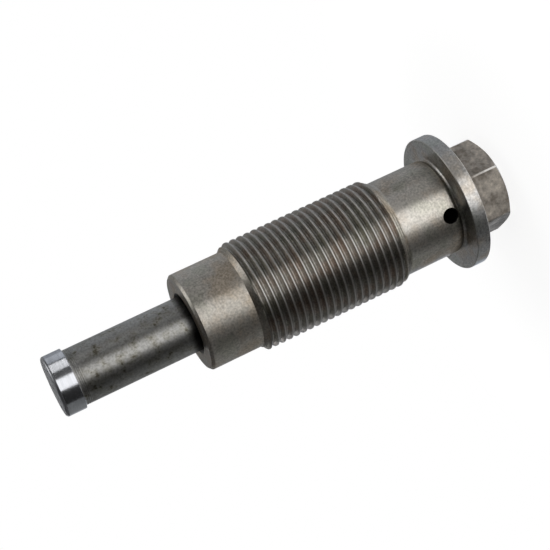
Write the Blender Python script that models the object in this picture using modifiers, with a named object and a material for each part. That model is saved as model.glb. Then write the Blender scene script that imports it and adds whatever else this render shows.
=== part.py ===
"""Screw-in hydraulic timing chain tensioner, modelled in metres.

A threaded housing holds a spring-loaded plunger that presses on the chain's guide rail. Oil enters by a
radial hole above the flange, passes a ball valve and fills the plunger, so the plunger moves out freely
and only leaks back slowly. The part stands on the end face of its hexagon, the plunger points up along
+Z, and the oil hole faces -Y, square to one flat of the hexagon.
"""
import math

import bmesh
import bpy
from mathutils import Matrix

# Housing, outside, from the hexagon's end face upwards
HEX_ACROSS_FLATS = 0.0168
HEX_HEIGHT = 0.0080
HEX_HALF_ANGLE = math.radians(30)
HEX_EDGE_RADIUS = 0.0008
HEX_END_SETBACK = 0.0003
HEX_END_ANGLE = math.radians(30)
FLANGE_DIAMETER = 0.0274
FLANGE_THICKNESS = 0.0029
FLANGE_EDGE = 0.0002
SHANK_DIAMETER = 0.0194
SHANK_LENGTH = 0.01195
UNDERCUT_DEPTH = 0.0003
UNDERCUT_WIDTH = 0.0011
UNDERCUT_FILLET = 0.0005
NOSE_DIAMETER = 0.0195
NOSE_LENGTH = 0.01068
NOSE_CHAMFER = 0.0005

# Thread, metric fine, right-hand
THREAD_DIAMETER = 0.022
THREAD_PITCH = 0.0015
THREAD_LENGTH = 0.03235
THREAD_CREST_TRIM = 0.00009
THREAD_FLANK_ANGLE = math.radians(30)
THREAD_DEPTH_RATIO = 0.6134
THREAD_CREST_RATIO = 0.125
RUN_OUT_LENGTH = 0.00195
GROOVE_START = 0.00081
GROOVE_START_ANGLE = math.radians(-90)
GROOVE_LIFT_TURN = 0.5

# Plunger
PLUNGER_DIAMETER = 0.0110
PLUNGER_PROJECTION = 0.02371
PLUNGER_STROKE = 0.0160
PLUNGER_WALL = 0.0014
PLUNGER_CROWN = 0.0090
PLUNGER_TAIL_LIP = 0.0018
PLUNGER_TAIL_CHAMFER = 0.0004
HEAD_OVERHANG = 0.0005
HEAD_LENGTH = 0.00402
HEAD_EDGE_RADIUS = 0.00055
HEAD_REAR_CHAMFER = 0.00012
CENTRE_MARK_RADIUS = 0.00045
PILOT_STEP = 0.0016
DRILL_POINT_ANGLE = math.radians(118)

# Housing, inside, from the nose downwards
MOUTH_CONE_ANGLE = math.radians(30)
RELIEF_STEP = 0.00124
SHOULDER_CHAMFER = 0.00015
CHAMBER_DIAMETER = 0.0090
CHAMBER_FLOOR = 0.0070
OIL_HOLE_DIAMETER = 0.0030
OIL_HOLE_LAND = 0.00083
OIL_HOLE_TO_LEDGE = 0.0025

# Retaining ring. Its groove takes the whole wire, so the closed ring passes the guide bore.
RING_WIRE = 0.0008
RING_OVERLAP = 0.0004
RING_GAP_ANGLE = math.radians(24)

# Check valve
SEAT_THICKNESS = 0.0030
SEAT_CHAMFER = 0.0003
SEAT_LAND = 0.00006
SEAT_CONE_RISE = 0.0006
SEAT_INLET_DEPTH = 0.0012
CAGE_SHEET = 0.0004
CAGE_BEND = 0.0005
CAGE_HOLE_RADIUS = 0.0007
CAGE_WINDOWS = 3
CAGE_WINDOW_WIDTH = 0.0016
CAGE_WINDOW_MARGIN = 0.0006
BALL_LIFT = 0.0005
VALVE_SPRING_WIRE = 0.0003
VALVE_SPRING_INSET = 0.00065
VALVE_SPRING_TURNS = 3

# Main spring and filler pin
SPRING_WIRE = 0.0011
SPRING_TURNS = 17
CLOSED_TURNS = 1
COIL_GAP = 0.00015
FILLER_HEAD_THICKNESS = 0.0012
FILLER_TIP_RADIUS = 0.0008

# Clearances
CONTACT_GAP = 0.0003
RUNNING_CLEARANCE = 0.00006
PRESS_GAP = 0.0001
MOUTH_CLEARANCE = 0.0002
RING_GROOVE_CLEARANCE = 0.00015
SPRING_SIDE_CLEARANCE = 0.00025
FILLER_CLEARANCE = 0.0005
FILLER_TIP_CLEARANCE = 0.0010
CAGE_SIDE_CLEARANCE = 0.0003
BALL_SIDE_CLEARANCE = 0.0003
BALL_GAP = 0.0001

# Smoothness
TURN_STEPS = 32
ARC_STEPS = 3
COIL_STEPS = 12
MERGE = 0.000001
SHARP_ANGLE = math.radians(25)

# How far a shaping tool runs past the surface that it cuts
OVERRUN = 0.001

# Radii that follow from the sizes above
HEX_CORNER = HEX_ACROSS_FLATS / 2 / math.cos(HEX_HALF_ANGLE)
HEX_END = HEX_ACROSS_FLATS / 2 - HEX_END_SETBACK
SHANK = SHANK_DIAMETER / 2
NOSE = NOSE_DIAMETER / 2
CREST = THREAD_DIAMETER / 2 - THREAD_CREST_TRIM
PLUNGER = PLUNGER_DIAMETER / 2
HEAD = PLUNGER + HEAD_OVERHANG
MOUTH = HEAD + MOUTH_CLEARANCE
GUIDE = PLUNGER + RUNNING_CLEARANCE
RELIEF = GUIDE + RELIEF_STEP
CHAMBER = CHAMBER_DIAMETER / 2
SPRING_BORE = PLUNGER - PLUNGER_WALL
SPRING_OUTER = SPRING_BORE - SPRING_SIDE_CLEARANCE
SPRING_INNER = SPRING_OUTER - SPRING_WIRE
FILLER = SPRING_INNER - FILLER_CLEARANCE
CAGE_OUTER = SPRING_INNER - CAGE_SIDE_CLEARANCE
CAGE_INNER = CAGE_OUTER - CAGE_SHEET
BALL = CAGE_INNER - BALL_SIDE_CLEARANCE
BALL_CONTACT = BALL / math.sqrt(2)
VALVE_SPRING = BALL - VALVE_SPRING_INSET
RING = GUIDE + RING_OVERLAP - RING_WIRE / 2
RING_GROOVE = PLUNGER - RING_WIRE

# Heights of the housing's outside
FLANGE_BOTTOM = HEX_HEIGHT
FLANGE_TOP = FLANGE_BOTTOM + FLANGE_THICKNESS
RUN_OUT_BASE = FLANGE_TOP + SHANK_LENGTH
NOSE_BASE = RUN_OUT_BASE + THREAD_LENGTH
NOSE_FACE = NOSE_BASE + NOSE_LENGTH

# Heights of the valve, stacked on the ledge above the oil hole
OIL_HOLE_HEIGHT = FLANGE_TOP + OIL_HOLE_LAND + OIL_HOLE_DIAMETER / 2
LEDGE = OIL_HOLE_HEIGHT + OIL_HOLE_DIAMETER / 2 + OIL_HOLE_TO_LEDGE
SEAT_BOTTOM = LEDGE + CONTACT_GAP
SEAT_TOP = SEAT_BOTTOM + SEAT_THICKNESS
BALL_CENTRE = SEAT_TOP - BALL_CONTACT - SEAT_CONE_RISE + (BALL + BALL_GAP) * math.sqrt(2)
CAGE_BOTTOM = SEAT_TOP + CONTACT_GAP
CAGE_FLANGE_TOP = CAGE_BOTTOM + CAGE_SHEET

# The valve spring rests on the ball's shoulder, and its closed turns under the cage's roof stop the lift
VALVE_SPRING_LOW = BALL_CENTRE + math.sqrt((BALL + BALL_GAP + VALVE_SPRING_WIRE / 2) ** 2 - VALVE_SPRING ** 2)
VALVE_SPRING_HIGH = VALVE_SPRING_LOW + BALL_LIFT + VALVE_SPRING_TURNS * VALVE_SPRING_WIRE
CAGE_ROOF = VALVE_SPRING_HIGH + VALVE_SPRING_WIRE / 2 + BALL_GAP
CAGE_TOP = CAGE_ROOF + CAGE_SHEET

# Heights of the plunger group, pushed out to its stop
PLUNGER_TAIL = SEAT_TOP + CONTACT_GAP + PLUNGER_STROKE
GROOVE_BOTTOM = PLUNGER_TAIL + PLUNGER_TAIL_LIP
GROOVE_TOP = GROOVE_BOTTOM + RING_WIRE + 2 * RING_GROOVE_CLEARANCE
RING_HEIGHT = (GROOVE_BOTTOM + GROOVE_TOP) / 2
SHOULDER = RING_HEIGHT + RING_WIRE / 2 + CONTACT_GAP
HEAD_REAR = NOSE_FACE + PLUNGER_PROJECTION
HEAD_FRONT = HEAD_REAR + HEAD_LENGTH
SPRING_BORE_END = HEAD_FRONT - PLUNGER_CROWN
FILLER_HEAD_TOP = SPRING_BORE_END - CONTACT_GAP
FILLER_HEAD_BOTTOM = FILLER_HEAD_TOP - FILLER_HEAD_THICKNESS
FILLER_TIP = CAGE_TOP + PLUNGER_STROKE + FILLER_TIP_CLEARANCE


def clear_scene():
    for obj in list(bpy.data.objects):
        bpy.data.objects.remove(obj, do_unlink=True)


def new_collection(name):
    collection = bpy.data.collections.new(name)
    bpy.context.scene.collection.children.link(collection)
    return collection


def material(name, colour, metallic, roughness):
    shader = bpy.data.materials.new(name)
    shader.use_nodes = True
    principled = shader.node_tree.nodes["Principled BSDF"]
    principled.inputs["Base Color"].default_value = (*colour, 1)
    principled.inputs["Metallic"].default_value = metallic
    principled.inputs["Roughness"].default_value = roughness
    return shader


def add_object(name, data, collection, height=0.0):
    obj = bpy.data.objects.new(name, data)
    obj.location.z = height
    collection.objects.link(obj)
    return obj


def add_empty(name, collection, height):
    """Empty on the part's axis: moving it along Z moves the pieces that are parented to it."""
    empty = add_object(name, None, collection, height)
    empty.empty_display_size = PLUNGER
    return empty


def parent_to(obj, empty):
    obj.parent = empty
    obj.location.z -= empty.location.z


def arc(centre, radius, start_degrees, end_degrees, steps=ARC_STEPS):
    """Points of an arc in the (radius, height) plane, both ends included."""
    points = []
    for step in range(steps + 1):
        angle = math.radians(start_degrees + (end_degrees - start_degrees) * step / steps)
        points.append((centre[0] + radius * math.cos(angle), centre[1] + radius * math.sin(angle)))
    return points


def drill_point(radius):
    """Depth of the cone that a drill of this radius leaves."""
    return radius / math.tan(DRILL_POINT_ANGLE / 2)


def turned(name, outline, collection, origin=0.0, closed=False):
    """Body of revolution about Z. The outline runs down its outer side, as (radius, height) points."""
    points = [(radius, 0, height - origin) for radius, height in outline]
    edges = [(index, index + 1) for index in range(len(points) - 1)]
    if closed:
        edges.append((len(points) - 1, 0))
    mesh = bpy.data.meshes.new(name)
    mesh.from_pydata(points, edges, [])
    obj = add_object(name, mesh, collection, origin)
    screw = obj.modifiers.new("Turn", "SCREW")
    screw.steps = TURN_STEPS
    screw.render_steps = TURN_STEPS
    screw.use_merge_vertices = True
    screw.merge_threshold = MERGE
    return obj


def mesh_object(name, bm, collection, origin=0.0):
    mesh = bpy.data.meshes.new(name)
    bm.to_mesh(mesh)
    bm.free()
    return add_object(name, mesh, collection, origin)


def wire(name, points, thickness, collection, origin=0.0):
    """Round wire through the points, with its ends capped, as a closed mesh."""
    curve = bpy.data.curves.new(name, "CURVE")
    curve.dimensions = "3D"
    curve.bevel_depth = thickness / 2
    curve.bevel_resolution = 2
    curve.use_fill_caps = True
    spline = curve.splines.new("POLY")
    spline.points.add(len(points) - 1)
    for point, (x, y, z) in zip(spline.points, points):
        point.co = (x, y, z - origin, 1)
    guide = add_object(name + "_path", curve, collection)
    evaluated = guide.evaluated_get(bpy.context.evaluated_depsgraph_get())
    bm = bmesh.new()
    bm.from_mesh(evaluated.to_mesh())
    bmesh.ops.remove_doubles(bm, verts=bm.verts, dist=MERGE)
    bmesh.ops.recalc_face_normals(bm, faces=bm.faces)
    bpy.data.objects.remove(guide)
    return mesh_object(name, bm, collection, origin)


def coil_points(radius, bottom, top, turns, closed_pitch):
    """Centre line of a right-hand compression spring with its end turns closed."""
    rise = top - bottom
    closed_rise = CLOSED_TURNS * closed_pitch
    open_turns = turns - 2 * CLOSED_TURNS
    open_pitch = (rise - 2 * closed_rise) / open_turns
    points = []
    for step in range(turns * COIL_STEPS + 1):
        turn = step / COIL_STEPS
        height = bottom + closed_pitch * min(turn, CLOSED_TURNS)
        height += open_pitch * min(max(turn - CLOSED_TURNS, 0), open_turns)
        height += closed_pitch * max(turn - CLOSED_TURNS - open_turns, 0)
        angle = turn * math.tau
        points.append((radius * math.cos(angle), radius * math.sin(angle), height))
    return points


def boolean(obj, other, operation):
    modifier = obj.modifiers.new(other.name, "BOOLEAN")
    modifier.operation = operation
    modifier.solver = "EXACT"
    modifier.object = other


def as_tool(obj):
    """A tool shapes another piece and isn't one itself."""
    obj.hide_render = True
    obj.display_type = "WIRE"
    return obj


def finish(obj, shader):
    """Sharp edges where faces meet at an angle, smooth shading elsewhere, and the piece's material."""
    depsgraph = bpy.context.evaluated_depsgraph_get()
    bm = bmesh.new()
    bm.from_mesh(obj.evaluated_get(depsgraph).to_mesh())
    bmesh.ops.remove_doubles(bm, verts=bm.verts, dist=MERGE)
    mesh = bpy.data.meshes.new(obj.name)
    bm.to_mesh(mesh)
    bm.free()
    obj.modifiers.clear()
    obj.data = mesh
    mesh.shade_smooth()
    mesh.set_sharp_from_angle(angle=SHARP_ANGLE)
    mesh.materials.clear()
    mesh.materials.append(shader)


def undercut_outline():
    """Relief groove between shank and flange, with a fillet into the seat face."""
    floor = SHANK - UNDERCUT_DEPTH
    centre = (floor + UNDERCUT_FILLET, FLANGE_TOP + UNDERCUT_FILLET)
    start = [(SHANK, FLANGE_TOP + UNDERCUT_WIDTH), (floor, FLANGE_TOP + UNDERCUT_WIDTH - UNDERCUT_DEPTH)]
    return start + arc(centre, UNDERCUT_FILLET, 180, 270)


def body_outline():
    lead = CREST - NOSE
    outline = [
        (0, NOSE_FACE),
        (NOSE - NOSE_CHAMFER, NOSE_FACE),
        (NOSE, NOSE_FACE - NOSE_CHAMFER),
        (NOSE, NOSE_BASE),
        (CREST, NOSE_BASE - lead),
        (CREST, RUN_OUT_BASE + RUN_OUT_LENGTH),
        (SHANK, RUN_OUT_BASE),
    ]
    outline += undercut_outline()
    outline += [
        (FLANGE_DIAMETER / 2 - FLANGE_EDGE, FLANGE_TOP),
        (FLANGE_DIAMETER / 2, FLANGE_TOP - FLANGE_EDGE),
        (FLANGE_DIAMETER / 2, FLANGE_BOTTOM + FLANGE_EDGE),
        (FLANGE_DIAMETER / 2 - FLANGE_EDGE, FLANGE_BOTTOM),
        (0, FLANGE_BOTTOM),
    ]
    return outline


def bore_outline():
    """Blind bore from the nose: mouth cone, guide, relief, valve ledge and drilled oil chamber."""
    mouth_slope = math.tan(MOUTH_CONE_ANGLE)
    return [
        (0, NOSE_FACE + OVERRUN),
        (MOUTH + OVERRUN * mouth_slope, NOSE_FACE + OVERRUN),
        (GUIDE, NOSE_FACE - (MOUTH - GUIDE) / mouth_slope),
        (GUIDE, SHOULDER + SHOULDER_CHAMFER),
        (GUIDE + SHOULDER_CHAMFER, SHOULDER),
        (RELIEF, SHOULDER),
        (RELIEF, LEDGE),
        (CHAMBER, LEDGE),
        (CHAMBER, CHAMBER_FLOOR),
        (0, CHAMBER_FLOOR - drill_point(CHAMBER)),
    ]


def hexagon(tools):
    """Six flats with rounded edges, two of them square to Y, and the end chamfered by a cone.

    Its top reaches into the flange.
    """
    top = FLANGE_BOTTOM + FLANGE_THICKNESS / 2
    height = top + OVERRUN
    bm = bmesh.new()
    bmesh.ops.create_cone(
        bm, cap_ends=True, segments=6, radius1=HEX_CORNER, radius2=HEX_CORNER, depth=height)
    bmesh.ops.translate(bm, verts=bm.verts, vec=(0, 0, height / 2 - OVERRUN))
    bmesh.ops.rotate(bm, verts=bm.verts, matrix=Matrix.Rotation(HEX_HALF_ANGLE, 3, "Z"))
    upright = [edge for edge in bm.edges if abs(edge.verts[0].co.z - edge.verts[1].co.z) > height / 2]
    # On a 120 degree edge a bevel this wide leaves the wanted radius
    width = HEX_EDGE_RADIUS * math.tan(HEX_HALF_ANGLE)
    bmesh.ops.bevel(bm, geom=upright, offset=width, segments=ARC_STEPS, affect="EDGES", profile=0.5)
    prism = as_tool(mesh_object("hexagon", bm, tools))
    reach = HEX_CORNER + OVERRUN
    cone = turned("hexagon_end_cone", [
        (0, top + OVERRUN),
        (reach, top + OVERRUN),
        (reach, (reach - HEX_END) * math.tan(HEX_END_ANGLE)),
        (HEX_END, 0),
        (0, 0),
    ], tools)
    boolean(prism, as_tool(cone), "INTERSECT")
    return prism


def oil_hole(tools):
    """Drill body along -Y, from inside the chamber to clear of the shank."""
    start = CHAMBER / 2
    length = SHANK + OVERRUN - start
    radius = OIL_HOLE_DIAMETER / 2
    bm = bmesh.new()
    bmesh.ops.create_cone(
        bm, cap_ends=True, segments=TURN_STEPS // 2, radius1=radius, radius2=radius, depth=length)
    hole = as_tool(mesh_object("oil_hole", bm, tools, OIL_HOLE_HEIGHT))
    hole.location.y = -start - length / 2
    hole.rotation_euler.x = math.radians(90)
    return hole


def thread_groove(tools):
    """Tooth gap swept up a right-hand helix. It comes in over half a turn and runs off over the nose."""
    nominal = THREAD_DIAMETER / 2
    root = nominal - THREAD_DEPTH_RATIO * THREAD_PITCH
    outer = nominal + THREAD_PITCH * THREAD_CREST_RATIO / 2
    slope = math.tan(THREAD_FLANK_ANGLE)
    half_mouth = THREAD_PITCH * (1 - THREAD_CREST_RATIO) / 2
    half_outer = half_mouth + (outer - nominal) * slope
    half_root = half_mouth - (nominal - root) * slope
    start = RUN_OUT_BASE + GROOVE_START
    turns = (NOSE_BASE + THREAD_PITCH / 2 - start) / THREAD_PITCH
    steps = math.ceil(turns * TURN_STEPS)
    section = [(root, -half_root), (outer, -half_outer), (outer, half_outer), (root, half_root)]
    bm = bmesh.new()
    corners = []
    for radius, offset in section:
        x = radius * math.cos(GROOVE_START_ANGLE)
        y = radius * math.sin(GROOVE_START_ANGLE)
        corners.append(bm.verts.new((x, y, start + offset)))
    face = bm.faces.new(corners)
    bmesh.ops.spin(
        bm, geom=[face, *face.edges, *corners], axis=(0, 0, 1), angle=math.tau * steps / TURN_STEPS,
        steps=steps, dvec=(0, 0, THREAD_PITCH / TURN_STEPS))
    lift_steps = GROOVE_LIFT_TURN * TURN_STEPS
    for index, vert in enumerate(bm.verts):
        lift = (nominal - root) * max(0, 1 - (index // len(section)) / lift_steps)
        radius = vert.co.xy.length
        vert.co.xy *= (radius + lift) / radius
    bmesh.ops.recalc_face_normals(bm, faces=bm.faces)
    return as_tool(mesh_object("thread_groove", bm, tools))


def housing(parts, tools):
    body = turned("housing", body_outline(), parts)
    boolean(body, hexagon(tools), "UNION")
    boolean(body, as_tool(turned("bore", bore_outline(), tools)), "DIFFERENCE")
    boolean(body, oil_hole(tools), "DIFFERENCE")
    boolean(body, thread_groove(tools), "DIFFERENCE")
    return body


def plunger(parts):
    edge = (HEAD - HEAD_EDGE_RADIUS, HEAD_FRONT - HEAD_EDGE_RADIUS)
    pilot = SPRING_BORE - PILOT_STEP
    outline = [
        (0, HEAD_FRONT - drill_point(CENTRE_MARK_RADIUS)),
        (CENTRE_MARK_RADIUS, HEAD_FRONT),
    ]
    outline += arc(edge, HEAD_EDGE_RADIUS, 90, 0)
    outline += [
        (HEAD, HEAD_REAR + HEAD_REAR_CHAMFER),
        (HEAD - HEAD_REAR_CHAMFER, HEAD_REAR),
        (PLUNGER, HEAD_REAR),
        (PLUNGER, GROOVE_TOP),
        (RING_GROOVE, GROOVE_TOP),
        (RING_GROOVE, GROOVE_BOTTOM),
        (PLUNGER, GROOVE_BOTTOM),
        (PLUNGER, PLUNGER_TAIL + PLUNGER_TAIL_CHAMFER),
        (PLUNGER - PLUNGER_TAIL_CHAMFER, PLUNGER_TAIL),
        (SPRING_BORE + PLUNGER_TAIL_CHAMFER, PLUNGER_TAIL),
        (SPRING_BORE, PLUNGER_TAIL + PLUNGER_TAIL_CHAMFER),
        (SPRING_BORE, SPRING_BORE_END),
        (pilot, SPRING_BORE_END),
        (0, SPRING_BORE_END + drill_point(pilot)),
    ]
    return turned("plunger", outline, parts, PLUNGER_TAIL)


def retaining_ring(parts):
    points = []
    steps = 3 * COIL_STEPS
    for step in range(steps + 1):
        angle = RING_GAP_ANGLE / 2 + (math.tau - RING_GAP_ANGLE) * step / steps
        points.append((RING * math.cos(angle), RING * math.sin(angle), RING_HEIGHT))
    return wire("retaining_ring", points, RING_WIRE, parts, RING_HEIGHT)


def filler_pin(parts):
    tip_centre = (FILLER - FILLER_TIP_RADIUS, FILLER_TIP + FILLER_TIP_RADIUS)
    outline = [
        (0, FILLER_HEAD_TOP),
        (SPRING_OUTER, FILLER_HEAD_TOP),
        (SPRING_OUTER, FILLER_HEAD_BOTTOM),
        (FILLER, FILLER_HEAD_BOTTOM),
    ]
    outline += arc(tip_centre, FILLER_TIP_RADIUS, 0, -90)
    outline.append((0, FILLER_TIP))
    return turned("filler_pin", outline, parts, FILLER_TIP)


def plunger_spring(parts):
    bottom = CAGE_FLANGE_TOP + CONTACT_GAP + SPRING_WIRE / 2
    top = FILLER_HEAD_BOTTOM - CONTACT_GAP - SPRING_WIRE / 2
    radius = SPRING_OUTER - SPRING_WIRE / 2
    points = coil_points(radius, bottom, top, SPRING_TURNS, SPRING_WIRE + COIL_GAP)
    return wire("plunger_spring", points, SPRING_WIRE, parts, bottom)


def valve_seat(parts):
    """Disc on the ledge: an orifice with a 90 degree cone for the ball above and an inlet cone below."""
    outer = RELIEF - PRESS_GAP
    orifice = BALL_CONTACT - SEAT_LAND
    cone_top = BALL_CONTACT + SEAT_CONE_RISE
    outline = [
        (cone_top, SEAT_TOP),
        (outer - SEAT_CHAMFER, SEAT_TOP),
        (outer, SEAT_TOP - SEAT_CHAMFER),
        (outer, SEAT_BOTTOM + SEAT_CHAMFER),
        (outer - SEAT_CHAMFER, SEAT_BOTTOM),
        (orifice + SEAT_INLET_DEPTH, SEAT_BOTTOM),
        (orifice, SEAT_BOTTOM + SEAT_INLET_DEPTH),
        (orifice, SEAT_TOP - (cone_top - orifice)),
    ]
    return turned("valve_seat", outline, parts, SEAT_BOTTOM, closed=True)


def check_ball(parts):
    bm = bmesh.new()
    bmesh.ops.create_uvsphere(bm, u_segments=2 * COIL_STEPS, v_segments=COIL_STEPS, radius=BALL)
    return mesh_object("check_ball", bm, parts, BALL_CENTRE)


def cage_windows(tools):
    """Cutter bodies for the windows in the cage's wall, spread evenly round the axis."""
    low = CAGE_FLANGE_TOP + CAGE_WINDOW_MARGIN
    high = CAGE_TOP - CAGE_BEND - CAGE_WINDOW_MARGIN
    bm = bmesh.new()
    for index in range(CAGE_WINDOWS):
        cube = bmesh.ops.create_cube(bm, size=1)["verts"]
        bmesh.ops.scale(bm, verts=cube, vec=(CAGE_OUTER, CAGE_WINDOW_WIDTH, high - low))
        bmesh.ops.translate(bm, verts=cube, vec=(CAGE_OUTER, 0, (low + high) / 2))
        spin = Matrix.Rotation(math.tau * index / CAGE_WINDOWS, 3, "Z")
        bmesh.ops.rotate(bm, verts=cube, matrix=spin)
    return as_tool(mesh_object("cage_windows", bm, tools))


def ball_cage(parts, tools):
    """Stamped cup with a flange: the main spring stands on the flange and holds the valve together."""
    bend = (CAGE_OUTER - CAGE_BEND, CAGE_TOP - CAGE_BEND)
    outline = [(CAGE_HOLE_RADIUS, CAGE_TOP)]
    outline += arc(bend, CAGE_BEND, 90, 0)
    outline += [
        (CAGE_OUTER, CAGE_FLANGE_TOP),
        (SPRING_OUTER, CAGE_FLANGE_TOP),
        (SPRING_OUTER, CAGE_BOTTOM),
        (CAGE_INNER, CAGE_BOTTOM),
        (CAGE_INNER, CAGE_ROOF),
        (CAGE_HOLE_RADIUS, CAGE_ROOF),
    ]
    cage = turned("ball_cage", outline, parts, CAGE_BOTTOM, closed=True)
    boolean(cage, cage_windows(tools), "DIFFERENCE")
    return cage


def valve_spring(parts):
    pitch = (VALVE_SPRING_HIGH - VALVE_SPRING_LOW) / VALVE_SPRING_TURNS
    points = coil_points(VALVE_SPRING, VALVE_SPRING_LOW, VALVE_SPRING_HIGH, VALVE_SPRING_TURNS, pitch)
    return wire("valve_spring", points, VALVE_SPRING_WIRE, parts, VALVE_SPRING_HIGH)


def main():
    clear_scene()
    parts = new_collection("timing_chain_tensioner")
    tools = new_collection("tools")

    turned_steel = material("turned_steel", (0.20, 0.19, 0.18), 1.0, 0.42)
    ground_steel = material("ground_steel", (0.42, 0.42, 0.44), 1.0, 0.25)
    spring_steel = material("spring_steel", (0.12, 0.12, 0.13), 1.0, 0.35)
    bearing_steel = material("bearing_steel", (0.60, 0.60, 0.62), 1.0, 0.12)
    stamped_steel = material("stamped_steel", (0.38, 0.38, 0.40), 1.0, 0.35)
    filled_plastic = material("filled_plastic", (0.03, 0.03, 0.03), 0.0, 0.5)

    finish(housing(parts, tools), turned_steel)
    finish(valve_seat(parts), ground_steel)
    finish(ball_cage(parts, tools), stamped_steel)
    finish(plunger_spring(parts), spring_steel)
    finish(valve_spring(parts), spring_steel)

    plunger_slide = add_empty("plunger_slide", parts, PLUNGER_TAIL)
    for piece, shader in (
        (plunger(parts), ground_steel),
        (retaining_ring(parts), spring_steel),
        (filler_pin(parts), filled_plastic),
    ):
        finish(piece, shader)
        parent_to(piece, plunger_slide)

    ball_slide = add_empty("ball_slide", parts, BALL_CENTRE)
    ball = check_ball(parts)
    finish(ball, bearing_steel)
    parent_to(ball, ball_slide)


if __name__ == "__main__":
    main()
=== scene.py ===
"""Looks of a screw-in hydraulic timing chain tensioner, built round its fixed CAD frame.

Everything is in metres. The part stands on the end of its hexagon with its plunger up, and the camera is
turned so that the picture shows it lying down, as photographed.
"""

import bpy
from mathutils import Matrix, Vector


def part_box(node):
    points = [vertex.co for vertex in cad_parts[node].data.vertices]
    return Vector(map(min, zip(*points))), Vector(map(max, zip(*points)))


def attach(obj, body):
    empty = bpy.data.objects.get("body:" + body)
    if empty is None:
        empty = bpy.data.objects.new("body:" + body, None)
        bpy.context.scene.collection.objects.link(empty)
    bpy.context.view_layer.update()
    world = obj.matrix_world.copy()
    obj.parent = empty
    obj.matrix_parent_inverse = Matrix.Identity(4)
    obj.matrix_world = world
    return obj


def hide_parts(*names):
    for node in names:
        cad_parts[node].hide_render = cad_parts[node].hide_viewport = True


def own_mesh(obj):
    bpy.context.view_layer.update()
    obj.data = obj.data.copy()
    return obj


bl_info = {
    "name": "Timing chain tensioner",
    "version": (1, 0, 0),
    "blender": (4, 5, 0),
    "location": "3D View > Sidebar > Tensioner",
    "description": "Dresses the CAD frame of a hydraulic timing chain tensioner in real finishes",
    "category": "Object",
}

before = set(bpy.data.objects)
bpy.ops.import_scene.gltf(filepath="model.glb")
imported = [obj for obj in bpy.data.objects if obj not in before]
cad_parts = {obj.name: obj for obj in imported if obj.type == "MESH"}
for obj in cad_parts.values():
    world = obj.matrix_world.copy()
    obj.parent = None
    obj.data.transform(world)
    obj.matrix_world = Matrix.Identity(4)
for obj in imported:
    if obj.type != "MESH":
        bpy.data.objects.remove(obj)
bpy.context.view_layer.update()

import functools
import math

import bmesh
import bpy
from mathutils import Matrix, Vector

# What the frame says about each piece
HOUSING_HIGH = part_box("housing")[1]
PLUNGER_LOW, PLUNGER_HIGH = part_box("plunger")
RING_LOW, RING_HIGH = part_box("retaining_ring")
COIL_LOW, COIL_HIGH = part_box("plunger_spring")
PIN_LOW, PIN_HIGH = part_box("filler_pin")
SEAT_LOW, SEAT_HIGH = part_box("valve_seat")
BALL_LOW, BALL_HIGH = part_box("check_ball")
CAGE_LOW, CAGE_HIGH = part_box("ball_cage")
SMALL_COIL_LOW, SMALL_COIL_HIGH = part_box("valve_spring")

# Smoothness of the skins. Columns go round a piece, steps go along an arc
COLUMN_DEGREES = 5
FINE_COLUMNS = 96
HOLE_COLUMNS = 40
ARC_STEPS = 5
BALL_STEPS = 48
RING_STEPS = 96
WIRE_SIDES = 14
TURN_POINTS = 40
SHARP_ANGLE = math.radians(32)
MERGE = 0.0000005

# Margins for asking which face lies where
HAIR = 0.00002
NEAR = 0.00005

# Thread section, as shares of the pitch: heights from the groove's middle, and depth
HALF_THREAD = (0.065, 0.125, 0.173, 0.26, 0.345, 0.385, 0.418, 0.44, 0.465)
THREAD_LINES = (-0.5, *(-line for line in reversed(HALF_THREAD)), 0.0, *HALF_THREAD)
THREAD_DEPTH = 0.6134
FLANK_ANGLE = math.radians(30)
ROOT_RADIUS = 0.00025
CREST_ROUNDING = 0.00005
# A line this near to a corner of the outline, as a share of the pitch, moves onto it
CORNER_REACH = 0.06

# The groove starts here above the shank, and rises out of the metal over half a turn
GROOVE_START = 0.00071
GROOVE_START_ANGLE = math.radians(-90)
GROOVE_LIFT_TURN = 0.5

# The run-out cone was turned in steps: each is level for a share of its length
RUN_OUT_EASE = 0.00025
RUN_OUT_STEPS = 3
RUN_OUT_LEVEL = 0.55
RUN_OUT_SLOPE = 0.15

# Radii and breaks of the housing that are too small for the CAD solids
NOSE_EDGE = 0.00012
MOUTH_EDGE = 0.0001
GUIDE_EDGE = 0.00015
SHANK_EDGE = 0.00012
HOLE_EDGE = 0.0002
END_EDGE = 0.0002
# Fillet of the relief groove: its radius, and its middle outwards from the groove's floor
GROOVE_FILLET = 0.0008
GROOVE_FILLET_OUT = 0.00074
# Fillet between flange and hexagon: depth under the flange, and reach beyond the hexagon
HEXAGON_FILLET = ((0.0, 0.0004), (0.00006, 0.00018), (0.00018, 0.00006), (0.0004, 0.0))
# Broken edge where the end chamfer meets the flats: inset, and height above the chamfer
HEXAGON_BREAK = ((0.0, 0.0001), (0.00003, 0.0), (0.00006, 0.0))

# Radii and breaks of the plunger and its pin
MARK_RADIUS = 0.0005
MARK_DEPTH = 0.00027
HEAD_REAR_EDGE = 0.00012
HEAD_FILLET = 0.00015
TAIL_EDGE = 0.0004
BORE_LEDGE = 0.0016
PIN_EDGE = 0.00015
PIN_FILLET = 0.0002
PIN_TIP = 0.0008
# Rings that the tool left behind the head
TOOL_RINGS = 4
TOOL_RING_START = 0.0003
TOOL_RING_PITCH = 0.00036
TOOL_RING_DEPTH = 0.00003

# The snap ring's gap in degrees, and half the point angle of a twist drill
RING_GAP = 24
DRILL_POINT = math.radians(59)

# Wear: how far from the groove's middle the crest edges are rubbed, as a share of the pitch, and how
# deep below the crest the rubbing reaches
CREST_SHARE = 0.38
CREST_RUB = 0.00012

# A noise pattern seldom leaves this range
NOISE_RANGE = {"From Min": 0.3, "From Max": 0.7}
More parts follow.
